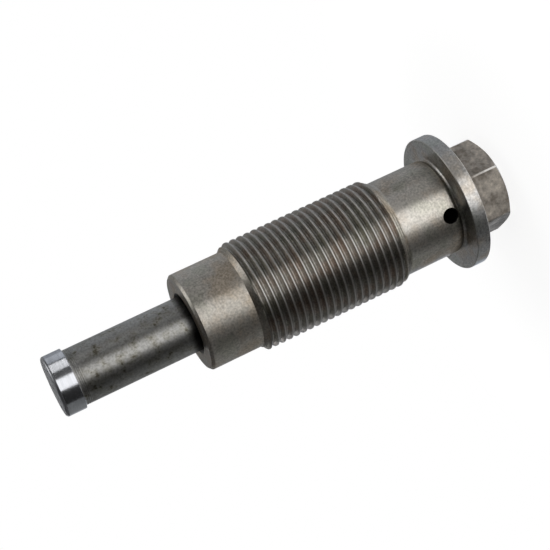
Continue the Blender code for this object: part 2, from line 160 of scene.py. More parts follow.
# How far the tool's rings wander round the part
FEED_DRIFT = 0.02
# Where painted shade darkens the relief groove: its middle height and its reach
GROOVE_SHADE_HEIGHT = 0.01175
GROOVE_SHADE_REACH = 0.0004


def linear(code):
    """Linear colour of an sRGB hex code such as #808080."""
    channels = [int(code[index:index + 2], 16) / 255 for index in (1, 3, 5)]
    return (*(c / 12.92 if c <= 0.04045 else ((c + 0.055) / 1.055) ** 2.4 for c in channels), 1.0)


def length(name, description, default):
    """Length property in metres."""
    return bpy.props.FloatProperty(
        name=name, description=description, default=default, min=0.0, precision=5,
        subtype="DISTANCE", unit="LENGTH")


def tint(name, description, code):
    """Colour property."""
    return bpy.props.FloatVectorProperty(
        name=name, description=description, default=linear(code), size=4, min=0.0, max=1.0,
        subtype="COLOR")


class HousingSizes(bpy.types.PropertyGroup):
    """Sizes of the turned housing."""
    hexagon: length("Hexagon", "Width across the hexagon's flats", 0.0168)
    hexagon_height: length("Hexagon height", "From the end face to the flange", 0.0080)
    hexagon_end: length("Hexagon end", "Diameter where the end chamfer starts", 0.0162)
    hexagon_edge: length("Hexagon edge", "Radius of the six upright edges", 0.00045)
    flange: length("Flange", "Diameter of the flange", HOUSING_HIGH.x * 2)
    flange_thickness: length("Flange thickness", "Thickness of the flange", 0.0029)
    flange_edge: length("Flange edge", "Radius of the flange's broken edges", 0.0002)
    undercut: length("Undercut", "Diameter of the relief groove on the flange", 0.0188)
    undercut_width: length("Undercut width", "Width of the relief groove", 0.0011)
    shank: length("Shank", "Diameter of the plain shank", 0.0194)
    shank_length: length("Shank length", "From the flange to the run-out cone", 0.01195)
    run_out: length("Run-out", "Length of the cone between shank and thread", 0.00195)
    crest: length("Thread crest", "Diameter over the thread's crests", 0.02182)
    root: length("Thread root", "Diameter at the thread's root", 0.0201598)
    pitch: length("Thread pitch", "Metric fine pitch", 0.0015)
    thread_length: length("Thread length", "From the run-out cone to the nose", 0.03235)
    nose: length("Nose", "Diameter of the plain nose", 0.0195)
    nose_chamfer: length("Nose chamfer", "Chamfer round the nose face", 0.0005)
    mouth: length("Mouth", "Diameter of the bore's mouth", 0.0124)
    guide: length("Guide bore", "Diameter that guides the plunger", 0.01112)
    relief: length("Relief bore", "Diameter of the wider bore below", 0.0136)
    shoulder: length("Shoulder", "Height of the shoulder that stops the ring", 0.03988)
    ledge: length("Ledge", "Height of the ledge that carries the valve", 0.01723)
    chamber: length("Oil chamber", "Diameter of the oil chamber", 0.0090)
    chamber_floor: length("Chamber floor", "Height where the drill point starts", 0.0070)
    oil_hole: length("Oil hole", "Diameter of the radial oil hole", 0.0030)
    oil_hole_height: length("Oil hole height", "Height of the oil hole's middle", 0.01323)


class PlungerSizes(bpy.types.PropertyGroup):
    """Sizes of the plunger, its filler pin and its spring."""
    shaft: length("Shaft", "Diameter of the plunger", 0.0110)
    head: length("Head", "Diameter of the thrust head", PLUNGER_HIGH.x * 2)
    head_length: length("Head length", "Length of the thrust head", 0.00402)
    head_edge: length("Head edge", "Radius round the thrust face", 0.00055)
    spring_bore: length("Spring bore", "Diameter of the bore for the spring", 0.0082)
    crown: length("Crown", "Solid length between spring bore and thrust face", 0.0090)
    ring_groove: length("Ring groove", "Diameter at the ring groove's floor", 0.0094)
    ring_groove_width: length("Ring groove width", "Width of the ring groove", 0.0011)
    tail_lip: length("Tail lip", "From the tail to the ring groove", 0.0018)
    pin: length("Filler pin", "Diameter of the oil filler pin", 0.0045)
    pin_head_thickness: length("Pin head", "Thickness of the filler pin's head", 0.0012)
    spring_wire: length("Spring wire", "Wire of the main spring", 0.0011)
    spring_gap: length("Spring gap", "Gap under the closed turn at each end", 0.0002)
    spring_turns: bpy.props.IntProperty(
        name="Spring turns", description="Turns of the main spring", default=17, min=4)


class ValveSizes(bpy.types.PropertyGroup):
    """Sizes of the valve's seat, cage and spring."""
    seat_chamfer: length("Seat chamfer", "Chamfer round the seat", 0.0003)
    seat_land: length("Seat land", "From the orifice out to where the ball touches the cone", 0.00006)
    seat_cone: length("Seat cone", "From where the ball touches the cone out to its top", 0.0006)
    seat_inlet: length("Seat inlet", "Depth of the inlet cone", 0.0012)
    cage_wall: length("Cage", "Diameter of the cage's wall", 0.0049)
    cage_sheet: length("Cage sheet", "Thickness of the cage's sheet", 0.0004)
    cage_bend: length("Cage bend", "Outer radius of the cage's bend", 0.0005)
    cage_hole: length("Cage hole", "Diameter of the hole in the cage's roof", 0.0014)
    window: length("Window", "Width of the cage's windows", 0.0016)
    window_margin: length("Window margin", "From a window to the flange or the bend", 0.0006)
    window_corner: length("Window corner", "Radius of a window's corners", 0.0002)
    windows: bpy.props.IntProperty(
        name="Windows", description="Windows round the cage", default=3, min=1)
    spring_wire: length("Spring wire", "Wire of the ball's spring", 0.0003)
    spring_turns: bpy.props.IntProperty(
        name="Spring turns", description="Turns of the ball's spring", default=3, min=3)


class Finishes(bpy.types.PropertyGroup):
    """Main colours of the finishes."""
    turned: tint("Turned steel", "Shank and nose", "#C0BBB2")
    flange: tint("Flange", "Tumbled flange, brightest and coolest", "#C6C6C5")
    crest: tint("Thread crest", "Rubbed crests of the thread", "#BEBCB8")
    # Darker flanks and roots: partly an oil film, partly painted shade in the thread's grooves
    flank_oil_and_shade: tint("Thread flank", "Oily flanks and roots of the thread", "#ADAAA5")
    hexagon: tint("Hexagon", "Scaled flats of the hexagon", "#CDC4B8")
    head: tint("Thrust head", "Ground head of the plunger", "#C0C2C6")
    shaft: tint("Shaft", "Hardened shaft of the plunger", "#A09F9C")
    wire: tint("Spring wire", "Oil-tempered wire", "#77777C")
    nylon: tint("Nylon", "Glass-filled nylon of the filler pin", "#26272A")
    floor: tint("Floor", "Pale floor", "#F4F4F4")


def add_node(tree, kind, inputs=None, stops=None, **settings):
    """Adds a shader node. An input is a value, an output, or a node, whose first output in use is linked."""
    node = tree.nodes.new("ShaderNode" + kind)
    for key, value in settings.items():
        setattr(node, key, value)
    for index, (position, colour) in enumerate(stops or ()):
        elements = node.color_ramp.elements
        element = elements[index] if index < len(elements) else elements.new(position)
        element.position = position
        element.color = linear(colour) if isinstance(colour, str) else colour
    for key, value in (inputs or {}).items():
        if isinstance(value, bpy.types.Node):
            value = next(output for output in value.outputs if output.enabled)
        if isinstance(value, bpy.types.NodeSocket):
            tree.links.new(value, node.inputs[key])
        else:
            node.inputs[key].default_value = value
    return node


def per_metre(millimetres):
    """Scale of a pattern of this size, because object coordinates are in metres."""
    return 1000 / millimetres


def new_material(name):
    """Empty material, and the call that adds a node to it."""
    made = bpy.data.materials.new(name)
    made.use_nodes = True
    made.node_tree.nodes.clear()
    return made, functools.partial(add_node, made.node_tree)


def new_finish(name):
    """Empty material of a piece, the call that adds a node to it, and the place on the piece."""
    made, add = new_material(name)
    return made, add, add("TexCoord").outputs["Object"]


def close_finish(made, colour, roughness, normal=None, metallic=1.0, **others):
    """Shader and output of a material. A metal keeps the default IOR."""
    inputs = {"Base Color": colour, "Roughness": roughness, "Metallic": metallic, **others}
    if normal:
        inputs["Normal"] = normal
    shader = add_node(made.node_tree, "BsdfPrincipled", inputs)
    add_node(made.node_tree, "OutputMaterial", {"Surface": shader})
    return made


def mottled(add, colour, noise, low, high):
    """Colour made darker and lighter by a noise pattern."""
    shade = add("MapRange", {"Value": noise, **NOISE_RANGE, "To Min": low, "To Max": high})
    return add("VectorMath", {0: colour, "Scale": shade}, operation="SCALE")


def lathe_space(add, place):
    """Radius, height, and the place as the tool's feed saw it, for patterns on turned metal."""
    parts = add("SeparateXYZ", {0: place}).outputs
    across = add("VectorMath", {0: place, 1: (1, 1, 0)}, operation="MULTIPLY")
    radius = add("VectorMath", {0: across}, operation="LENGTH").outputs["Value"]
    drift = add("Math", {0: parts[0], 1: FEED_DRIFT}, operation="MULTIPLY")
    feed = add("CombineXYZ", {0: radius, 1: drift, 2: parts[2]})
    return radius, parts[2], feed


def turned_finish(colours, sizes):
    """Free-cutting steel bar, turned and tumbled.

    Satin grey with a fine sparkle from tumbling, faint rings from the tool and warm oil stains. Tumbling
    leaves the flange brighter than the nose, and its edges are rubbed bright. Painted shade darkens the
    relief groove under the flange.
    """
    made, add, place = new_finish("free_cutting_steel_turned")
    radius, height, feed = lathe_space(add, place)
    worn = add("Attribute", attribute_name="worn").outputs["Fac"]
    # Tumbling leaves dents of about 0.1 mm, drawn at 0.4 mm so that they show
    grain = add("TexNoise", {"Vector": place, "Scale": per_metre(0.4), "Detail": 3.0})
    patches = add("TexNoise", {"Vector": place, "Scale": per_metre(5.0), "Detail": 4.0})
    # The tool's feed was about 0.1 mm, drawn at 0.45 mm so that it shows
    rings = add("TexNoise", {"Vector": feed, "Scale": per_metre(0.45), "Detail": 2.0})
    # Painted shade: in the relief groove under the flange the colour is drawn at half brightness
    groove = add("Math", {0: radius, 1: sizes.shank / 2 - 2 * NEAR}, operation="LESS_THAN")
    low_down = add("Math", {0: height, 1: GROOVE_SHADE_HEIGHT, 2: GROOVE_SHADE_REACH}, operation="COMPARE")
    painted_groove_shade = add("Math", {0: groove, 1: low_down}, operation="MULTIPLY")
    above_flange = housing_levels(sizes)[0] + 2 * NEAR
    upwards = {"Value": height, "From Min": above_flange, "From Max": HOUSING_HIGH.z - 0.01}
    level = add("MapRange", {"Value": grain, **NOISE_RANGE, "To Min": 0.7, "To Max": 1.24})
    for factor in (
        add("MapRange", {"Value": rings, **NOISE_RANGE, "To Min": 0.94, "To Max": 1.05}),
        add("MapRange", {**upwards, "To Min": 1.08, "To Max": 1.0}),
        # Painted shade in the relief groove
        add("MapRange", {"Value": painted_groove_shade, "To Min": 1.0, "To Max": 0.5}),
    ):
        level = add("Math", {0: level, 1: factor}, operation="MULTIPLY")
    stops = ((0.36, "#EBEDE7"), (0.47, "#F8F7F6"), (0.62, "#F3E9DD"))
    stain = add("ValToRGB", {"Fac": patches}, stops=stops)
    above = add("MapRange", {"Value": height, "From Min": above_flange, "From Max": above_flange + 0.0005})
    steel = add("Mix", {0: above, 6: colours.flange, 7: colours.turned}, data_type="RGBA")
    base = add("Mix", {0: 1.0, 6: steel, 7: stain}, data_type="RGBA", blend_type="MULTIPLY")
    shaded = add("VectorMath", {0: base, "Scale": level}, operation="SCALE")
    rub = add("Math", {0: worn, 1: grain}, operation="MULTIPLY")
    colour = add("Mix", {0: rub, 6: shaded, 7: linear("#E2DFDA")}, data_type="RGBA")
    smooth = add("MapRange", {**upwards, "To Min": 0.3, "To Max": 0.38})
    rough = add("Math", {0: patches, 1: 0.12, 2: smooth}, operation="MULTIPLY_ADD")
    dents = add("Bump", {"Distance": 0.000009, "Height": grain})
    ringed = add("Bump", {"Distance": 0.000004, "Height": rings, "Normal": dents})
    return close_finish(made, colour, rough, ringed)


def thread_finish(colours):
    """Free-cutting steel, thread-cut and oiled.

    Crests are rubbed bright. Flanks and roots are darker, partly under an oily red-brown film and partly
    with painted shade in the grooves.
    """
    made, add, place = new_finish("free_cutting_steel_thread_cut")
    worn = add("Attribute", attribute_name="worn").outputs["Fac"]
    # The same dents of about 0.1 mm, drawn at 0.4 mm
    grain = add("TexNoise", {"Vector": place, "Scale": per_metre(0.4), "Detail": 3.0})
    patches = add("TexNoise", {"Vector": place, "Scale": per_metre(4.0), "Detail": 4.0})
    stops = ((0.36, "#EAEAE3"), (0.47, "#F4F3F1"), (0.62, "#F1E5DE"))
    film = add("ValToRGB", {"Fac": patches}, stops=stops)
    # Flank colour: oil film and painted shade in the grooves
    colour = add("Mix", {0: 1.0, 6: colours.flank_oil_and_shade, 7: film}, data_type="RGBA", blend_type="MULTIPLY")
    colour = mottled(add, colour, grain, 0.7, 1.25)
    rubbed = add("Mix", {0: worn, 6: colour, 7: colours.crest}, data_type="RGBA")
    rough = add("MapRange", {"Value": worn, "To Min": 0.29, "To Max": 0.42})
    dents = add("Bump", {"Distance": 0.000006, "Height": grain})
    return close_finish(made, rubbed, rough, dents)


def hexagon_finish(colours):
    """Hot-rolled hexagon steel with its scale tumbled.

    Mottled warm grey with pits, darker where the scale stayed and bright on the rubbed edges.
    """
    made, add, place = new_finish("hot_rolled_steel_scaled")
    worn = add("Attribute", attribute_name="worn").outputs["Fac"]
    pits = add("TexNoise", {"Vector": place, "Scale": per_metre(0.9), "Detail": 6.0, "Roughness": 0.7})
    scale = add("TexNoise", {"Vector": place, "Scale": per_metre(3.0), "Detail": 3.0})
    stops = ((0.38, "#978F85"), (0.50, "#B9B1A7"), (0.62, colours.hexagon))
    colour = mottled(add, add("ValToRGB", {"Fac": scale}, stops=stops), pits, 0.55, 1.3)
    rub = add("Math", {0: worn, 1: 1.6, 2: pits}, operation="MULTIPLY_ADD")
    rub = add("Math", {0: rub, 1: 0.75}, operation="SUBTRACT", use_clamp=True)
    edged = add("Mix", {0: rub, 6: colour, 7: linear("#F0EDE8")}, data_type="RGBA")
    rough = add("MapRange", {"Value": scale, **NOISE_RANGE, "To Min": 0.55, "To Max": 0.42})
    dents = add("Bump", {"Distance": 0.000016, "Height": pits})
    return close_finish(made, edged, rough, dents)


def head_finish(colours, sizes):
    """Case-hardened steel, ground and polished.

    Bright and cool, with soft waves across its reflections and very fine rings round it. Its rim and its
    thrust face, where the chain's guide rubs, are duller.
    """
    made, add, place = new_finish("hardened_steel_ground")
    radius, height, feed = lathe_space(add, place)
    waves = add("TexNoise", {"Vector": place, "Scale": per_metre(2.5), "Detail": 3.0})
    # Grinding grit of about 0.03 mm, drawn at 0.25 mm
    rings = add("TexNoise", {"Vector": feed, "Scale": per_metre(0.25), "Detail": 2.0})
    colour = add("ValToRGB", {"Fac": rings}, stops=((0.3, colours.head), (0.75, "#D0D1D5")))
    polish = add("MapRange", {"Value": waves, **NOISE_RANGE, "To Min": 0.15, "To Max": 0.21})
    # Radius plus height is largest on the rim
    rim = add("Math", {0: radius, 1: height}, operation="ADD")
    corner = sizes.head / 2 + PLUNGER_HIGH.z - sizes.head_edge
    rim = add("Math", {0: rim, 1: corner + NEAR}, operation="GREATER_THAN")
    face = add("Math", {0: height, 1: PLUNGER_HIGH.z - HAIR}, operation="GREATER_THAN")
    rubbed = add("Math", {0: rim, 1: face}, operation="MAXIMUM")
    rough = add("Math", {0: rubbed, 1: 0.25, 2: polish}, operation="MULTIPLY_ADD")
    wavy = add("Bump", {"Distance": 0.000013, "Height": waves})
    ringed = add("Bump", {"Distance": 0.0000005, "Height": rings, "Normal": wavy})
    return close_finish(made, colour, rough, ringed)


def shaft_finish(colours):
    """Case-hardened steel as it left the furnace and the oil quench.

    Dull grey with soft brown-green spots and pits. Painted shade darkens it just above the housing's mouth.
    """
    made, add, place = new_finish("hardened_steel_quenched")
    height = add("SeparateXYZ", {0: place}).outputs[2]
    # Pits of about 0.1 mm, drawn at 0.4 mm
    specks = add("TexNoise", {"Vector": place, "Scale": per_metre(0.4), "Detail": 2.0})
    spots = add("TexNoise", {"Vector": place, "Scale": per_metre(1.6), "Detail": 3.0})
    stops = ((0.30, "#6E6A5E"), (0.38, "#94928B"), (0.55, colours.shaft))
    film = mottled(add, add("ValToRGB", {"Fac": spots}, stops=stops), specks, 0.78, 1.2)
    mouth = HOUSING_HIGH.z
    # Painted shade and painted reflection: the shaft is darkened towards the housing's mouth, standing in
    # for its shadow and the dark mouth it reflects
    painted_mouth_shade = add("MapRange", {"Value": height, "From Min": mouth + 0.0004, "From Max": mouth + 0.0022,
                            "To Min": 0.1}, interpolation_type="SMOOTHSTEP")
    colour = add("VectorMath", {0: film, "Scale": painted_mouth_shade}, operation="SCALE")
    dents = add("Bump", {"Distance": 0.000006, "Height": specks})
    return close_finish(made, colour, 0.37, dents)


def ball_finish():
    """Bearing steel, lapped to a mirror: nearly white with only a trace of haze."""
    made, add, place = new_finish("bearing_steel_lapped")
    haze = add("TexNoise", {"Vector": place, "Scale": per_metre(0.8), "Detail": 2.0})
    colour = add("ValToRGB", {"Fac": haze}, stops=((0.3, "#C9CACD"), (0.7, "#D8D9DC")))
    rough = add("MapRange", {"Value": haze, "To Min": 0.06, "To Max": 0.12})
    return close_finish(made, colour, rough)


def one_pattern(made, add, place, pattern, stops, relief, roughness, **others):
    """Closes a material that has one noise pattern, given by size in millimetres and detail."""
    size, detail = pattern
    noise = add("TexNoise", {"Vector": place, "Scale": per_metre(size), "Detail": detail})
    colour = add("ValToRGB", {"Fac": noise}, stops=stops)
    bumped = add("Bump", {"Distance": relief, "Height": noise})
    return close_finish(made, colour, roughness, bumped, **others)


def bore_finish_painted_shade():
    """Steel, bored and left oily, with the rings of the boring bar. Its dark colour is partly painted shade,
    for the insides of the bores, the mouth and the oil hole.
    """
    made, add, place = new_finish("bored_steel_painted_shade")
    feed = lathe_space(add, place)[2]
    # Feed of the boring bar, about 0.15 mm, drawn at 0.4 mm
    return one_pattern(made, add, feed, (0.4, 1.0), ((0.35, "#4B4946"), (0.65, "#6A6865")), 0.000005, 0.4)


def wire_finish(colours):
    """Oil-tempered spring wire: drawn smooth, blue-grey under an uneven film of oxide."""
    stops = ((0.35, "#55555B"), (0.65, colours.wire))
    return one_pattern(*new_finish("oil_tempered_spring_wire"), (1.5, 3.0), stops, 0.000003, 0.32)


def seat_finish():
    """Valve seat steel, turned and face-ground: even grey with close rings on its faces."""
    made, add, place = new_finish("seat_steel_face_ground")
    feed = lathe_space(add, place)[2]
    # Rings about 0.05 mm apart, drawn at 0.2 mm
    return one_pattern(made, add, feed, (0.2, 2.0), ((0.3, "#9A9A9C"), (0.7, "#B5B5B7")), 0.000001, 0.28)


def sheet_finish():
    """Cold-rolled steel sheet, stamped and bare: soft grey with rolling lines."""
    made, add, place = new_finish("cold_rolled_sheet_stamped")
    rolled = add("VectorMath", {0: place, 1: (0.1, 1, 1)}, operation="MULTIPLY")
    # Rolling lines about 0.05 mm apart, drawn at 0.3 mm
    return one_pattern(made, add, rolled, (0.3, 2.0), ((0.3, "#8E8F92"), (0.7, "#ABACAF")), 0.000002, 0.35)


def nylon_finish(colours):
    """Nylon with glass fibre, moulded: near black, with pale fibre ends just under the skin."""
    stops = ((0.55, colours.nylon), (0.8, "#4A4B4E"))
    # Fibre ends of about 0.02 mm, drawn at 0.25 mm
    return one_pattern(*new_finish("glass_filled_nylon_moulded"), (0.25, 3.0), stops, 0.000008, 0.5,
                       metallic=0.0, IOR=1.53)


def arc(centre, radius, start_degrees, end_degrees, steps=ARC_STEPS):
    """Points of an arc in the (radius, height) plane, both ends included."""
    points = []
    for step in range(steps + 1):
        angle = math.radians(start_degrees + (end_degrees - start_degrees) * step / steps)
        points.append((centre[0] + radius * math.cos(angle), centre[1] + radius * math.sin(angle)))
    return points


def even_angles(count=FINE_COLUMNS):
    """Angles of evenly spaced columns."""
    return [math.tau * index / count for index in range(count)]


def ring_row(radius, height, angles):
    """One row of a turned skin. Radius and height are numbers, or functions of the angle."""
    row = []
    for angle in angles:
        reach = radius(angle) if callable(radius) else radius
        level = height(angle) if callable(height) else height
        row.append((reach * math.cos(angle), reach * math.sin(angle), level))
    return row


def turned_rows(outline, angles):
    """Rows of a turned skin, from (radius, height) points."""
    return [ring_row(radius, height, angles) for radius, height in outline]


def skin_rows(rows, closed=False, around=True):
    """Vertices and faces of a skin through rows of equal length. Rows on the axis collapse when welded."""
    points = [point for row in rows for point in row]
    width = len(rows[0])
    faces = []
    for index in range(len(rows) if closed else len(rows) - 1):
        low = index * width
        high = (index + 1) % len(rows) * width
        for column in range(width if around else width - 1):
            after = (column + 1) % width
            faces.append((low + column, low + after, high + after, high + column))
    return points, faces


def turned_skin(outline, closed=False):
    """Skin of a body of revolution about Z, from (radius, height) points."""
    return skin_rows(turned_rows(outline, even_angles()), closed)


def wire_skin(path, radius, low=-math.inf, high=math.inf):
    """Round wire along a path about Z, with eased ends, and ground flat where it passes low or high."""
    # Rows at an end, in wire radii: their size, and how far in they lie
    tips = ((0.0, 0.0), (0.8, 0.0), (1.0, 0.25))
    rows = []
    count = len(path)
    for index, place in enumerate(path):
        along = (path[min(index + 1, count - 1)] - path[max(index - 1, 0)]).normalized()
        outward = Vector((place.x, place.y, 0)).normalized()
        side = along.cross(outward).normalized()
        outward = side.cross(along)
        if index == 0:
            stations = [(size, along * (reach * radius)) for size, reach in tips]
        elif index == count - 1:
            stations = [(size, along * (-reach * radius)) for size, reach in reversed(tips)]
        else:
            stations = [(1.0, Vector())]
        for size, shift in stations:
            row = []
            for angle in even_angles(WIRE_SIDES):
                arm = outward * math.cos(angle) + side * math.sin(angle)
                point = place + shift + arm * (radius * size)
                row.append((point.x, point.y, min(max(point.z, low), high)))
            rows.append(row)
    return skin_rows(rows)


def coil_path(radius, low, high, turns, closed_pitch):
    """Middle line of a right-hand compression spring with one closed turn at each end."""
    open_pitch = (high - low - 2 * closed_pitch) / (turns - 2)
    path = []
    for step in range(turns * TURN_POINTS + 1):
        turn = step / TURN_POINTS
        height = low + closed_pitch * min(turn, 1)
        height += open_pitch * min(max(turn - 1, 0), turns - 2)
        height += closed_pitch * max(turn - turns + 1, 0)
        angle = turn * math.tau
        path.append(Vector((radius * math.cos(angle), radius * math.sin(angle), height)))
    return path


def tidy_mesh(mesh):
    """Welds the skin shut, turns its faces outwards and smooths all but its sharp edges."""
    bm = bmesh.new()
    bm.from_mesh(mesh)
    bmesh.ops.remove_doubles(bm, verts=bm.verts, dist=MERGE)
    bmesh.ops.recalc_face_normals(bm, faces=bm.faces)
    bm.to_mesh(mesh)
    bm.free()
    mesh.shade_smooth()
    mesh.set_sharp_from_angle(angle=SHARP_ANGLE)


def new_object(name, data):
    """Object in the scene."""
    obj = bpy.data.objects.new(name, data)
    bpy.context.scene.collection.objects.link(obj)
    return obj


def new_piece(name, skin, *finishes):
    """Object with a welded skin and its finishes."""
    points, faces = skin
    mesh = bpy.data.meshes.new(name)
    mesh.from_pydata(points, [], faces)
    tidy_mesh(mesh)
    for finish in finishes:
        mesh.materials.append(finish)
    return new_object(name, mesh)


def cut_away(obj, skin):
    """Cuts a closed shape out of a piece for good."""
    tool = new_piece("cutting_tool", skin)
    cut = obj.modifiers.new("Cut", "BOOLEAN")
    cut.object = tool
    cut.solver = "EXACT"
    depsgraph = bpy.context.evaluated_depsgraph_get()
    opened = bpy.data.meshes.new_from_object(obj.evaluated_get(depsgraph))
    obj.modifiers.clear()
    obj.data = opened
    bpy.data.objects.remove(tool)
    tidy_mesh(opened)


def assign_finishes(mesh, choose):
    """Gives every face the finish that the rule chooses for it."""
    for face in mesh.polygons:
        face.material_index = choose(face)


def paint_points(mesh, name, rule):
    """Attribute for the finishes, from 0 to 1 at each point of the mesh."""
    painted = mesh.attributes.new(name, "FLOAT", "POINT")
    for vertex, value in zip(mesh.vertices, painted.data):
        value.value = rule(vertex.co)


def keep_flats_flat(obj):
    """Shading that keeps large faces flat beside their small radii."""
    weighted = obj.modifiers.new("Flat faces", "WEIGHTED_NORMAL")
    weighted.keep_sharp = True


def housing_levels(sizes):
    """Heights of the flange's upper side, of the shank's end and of the thread's end."""
    flange_top = sizes.hexagon_height + sizes.flange_thickness
    cone_base = flange_top + sizes.shank_length
    return flange_top, cone_base, cone_base + sizes.thread_length


def housing_angles(sizes):
    """Column angles, closer together round the hexagon's six edges."""
    start = round(math.degrees(GROOVE_START_ANGLE))
    angles = set(range(start, start + 360, COLUMN_DEGREES))
    for edge in range(start + 30, start + 360, 60):
        for share in (0.25, 0.5, 0.75, 1.0, 1.3):
            step = share * edge_half_angle(sizes)
            angles |= {edge - step, edge + step}
    return [math.radians(angle) for angle in sorted(angles)]


def edge_arm(sizes):
    """From the axis to the middle of a hexagon edge's radius."""
    return (sizes.hexagon / 2 - sizes.hexagon_edge) / math.cos(math.radians(30))


def edge_half_angle(sizes):
    """Degrees from the hexagon's edge line to where its edge radius ends, seen from the axis."""
    edge = sizes.hexagon_edge
    return math.degrees(math.atan2(edge / 2, edge_arm(sizes) + edge * math.cos(math.radians(30))))


def off_edge(angle):
    """Degrees from this angle to the nearest edge of the hexagon."""
    return abs((math.degrees(angle) + 90) % 60 - 30)


def hexagon_radius(sizes, angle):
    """Reach of the hexagon with rounded edges at this angle."""
    off = off_edge(angle)
    if off >= edge_half_angle(sizes) - 0.001:
        return sizes.hexagon / 2 / math.cos(math.radians(30 - off))
    arm = edge_arm(sizes)
    swing = math.radians(off)
    return arm * math.cos(swing) + math.sqrt(sizes.hexagon_edge ** 2 - (arm * math.sin(swing)) ** 2)


def thread_skin(sizes, angles, low, high):
    """Helical grid over the run-out cone, the thread and its lead chamfer."""
    crest = sizes.crest / 2
    root = sizes.root / 2
    shank = sizes.shank / 2
    nose = sizes.nose / 2
    cone_top = low + sizes.run_out
    lead = high - (crest - nose)

    def envelope(level):
        """Radius of the blank before the thread was cut."""
        if level <= cone_top:
            rise = max(level - low - RUN_OUT_EASE, 0) / (cone_top - low - RUN_OUT_EASE)
            whole, part = divmod(rise * RUN_OUT_STEPS, 1)
            ease = max(part - RUN_OUT_LEVEL, 0) / (1 - RUN_OUT_LEVEL)
            stair = (whole + ease * ease * (3 - 2 * ease)) / RUN_OUT_STEPS
            return shank + (crest - shank) * (RUN_OUT_SLOPE * rise + (1 - RUN_OUT_SLOPE) * stair)
        if level <= lead:
            return crest
        return crest - (crest - nose) * (level - lead) / (high - lead)

    def groove(offset, turn):
        """Radius of the cut at this distance from its middle, on this turn."""
        if turn < 0:
            return math.inf
        lift = THREAD_DEPTH * sizes.pitch * max(0, 1 - turn / GROOVE_LIFT_TURN)
        reach = abs(offset)
        if reach < ROOT_RADIUS * math.cos(FLANK_ANGLE):
            return root + lift + ROOT_RADIUS - math.sqrt(ROOT_RADIUS ** 2 - reach ** 2)
        return root + lift + reach / math.tan(FLANK_ANGLE) - ROOT_RADIUS

    def surface(level, middle, turn):
        """Radius of the finished thread."""
        outer = envelope(level)
        if level in (low, high):
            return outer
        cut = groove(level - middle, turn)
        blend = max(CREST_ROUNDING - abs(outer - cut), 0) / CREST_ROUNDING
        return min(outer, cut) - blend * blend * CREST_ROUNDING / 4

    grid = []
    for turn in range(-2, math.ceil((high - low) / sizes.pitch) + 3):
        for line in THREAD_LINES:
            row = []
            for angle in angles:
                turns = turn + (angle - angles[0]) / math.tau
                middle = low + GROOVE_START + sizes.pitch * turns
                level = min(max(middle + line * sizes.pitch, low), high)
                for corner in (cone_top, lead):
                    if abs(level - corner) < CORNER_REACH * sizes.pitch:
                        level = corner
                radius = surface(level, middle, turns)
                row.append((radius * math.cos(angle), radius * math.sin(angle), level))
            grid.append(row)
    points, faces = skin_rows(grid, around=False)
    # Past its last column a row goes on one turn higher
    width = len(angles)
    for index in range(len(grid) - len(THREAD_LINES) - 1):
        last = (index + 1) * width - 1
        first = (index + len(THREAD_LINES)) * width
        faces.append((last, first, first + width, last + width))
    return points, faces


def housing_skin(sizes):
    """Skin of the whole housing: its bore and nose, its thread, then shank, flange and hexagon."""
    angles = housing_angles(sizes)
    face = HOUSING_HIGH.z
    flange_bottom = sizes.hexagon_height
    flange_top, cone_base, nose_base = housing_levels(sizes)
    chamber = sizes.chamber / 2
    guide = sizes.guide / 2
    mouth = sizes.mouth / 2
    nose = sizes.nose / 2
    chamfer = sizes.nose_chamfer
    inside = [
        (0, sizes.chamber_floor - chamber / math.tan(DRILL_POINT)),
        (chamber, sizes.chamber_floor),
        (chamber, sizes.ledge),
        (sizes.relief / 2, sizes.ledge),
        (sizes.relief / 2, sizes.shoulder),
        (guide + GUIDE_EDGE, sizes.shoulder),
        (guide, sizes.shoulder + GUIDE_EDGE),
        (guide, face - (mouth - guide) / math.tan(math.radians(30))),
    ]
    inside += arc((mouth + 1.2 * MOUTH_EDGE, face - MOUTH_EDGE), MOUTH_EDGE, 165, 90, 3)
    inside += arc((nose - chamfer - NOSE_EDGE / 2, face - NOSE_EDGE), NOSE_EDGE, 90, 45, 2)
    inside += arc((nose - NOSE_EDGE, face - chamfer - NOSE_EDGE / 2), NOSE_EDGE, 45, 0, 2)
    inside.append((nose, nose_base))

    shank = sizes.shank / 2
    edge = sizes.flange_edge
    rim = sizes.flange / 2
    undercut_top = flange_top + sizes.undercut_width
    fillet_middle = (sizes.undercut / 2 + GROOVE_FILLET_OUT, flange_top + GROOVE_FILLET)
    outside = [(shank, cone_base), (shank, undercut_top + SHANK_EDGE),
               (shank - SHANK_EDGE / 3, undercut_top)]
    outside += arc(fillet_middle, GROOVE_FILLET, 210, 270)
    outside += arc((rim - edge, flange_top - edge), edge, 90, 0, 4)
    outside += arc((rim - edge, flange_bottom + edge), edge, 0, -90, 4)
    rows = turned_rows(outside, angles)

    end = sizes.hexagon_end / 2

    def hexagon_row(inset, height):
        """Row of the hexagon's section, this far inside its flats."""
        return ring_row(lambda angle: hexagon_radius(sizes, angle) - inset, height, angles)

    def end_cone(angle):
        """Height of the end chamfer on the flats."""
        return (hexagon_radius(sizes, angle) - end) * math.tan(math.radians(30))

    for depth, reach in HEXAGON_FILLET:
        rows.append(hexagon_row(-reach, flange_bottom - depth))
    for inset, rise in HEXAGON_BREAK:
        rows.append(hexagon_row(inset, lambda angle, rise=rise: end_cone(angle) + rise))
    rows += turned_rows([(end, 0), (end - END_EDGE, 0), (0, 0)], angles)

    points, faces = [], []
    for more_points, more_faces in (
        skin_rows(turned_rows(inside, angles)),
        thread_skin(sizes, angles, cone_base, nose_base),
        skin_rows(rows),
    ):
        base = len(points)
        points += more_points
        faces += [tuple(base + index for index in corners) for corners in more_faces]
    return points, faces


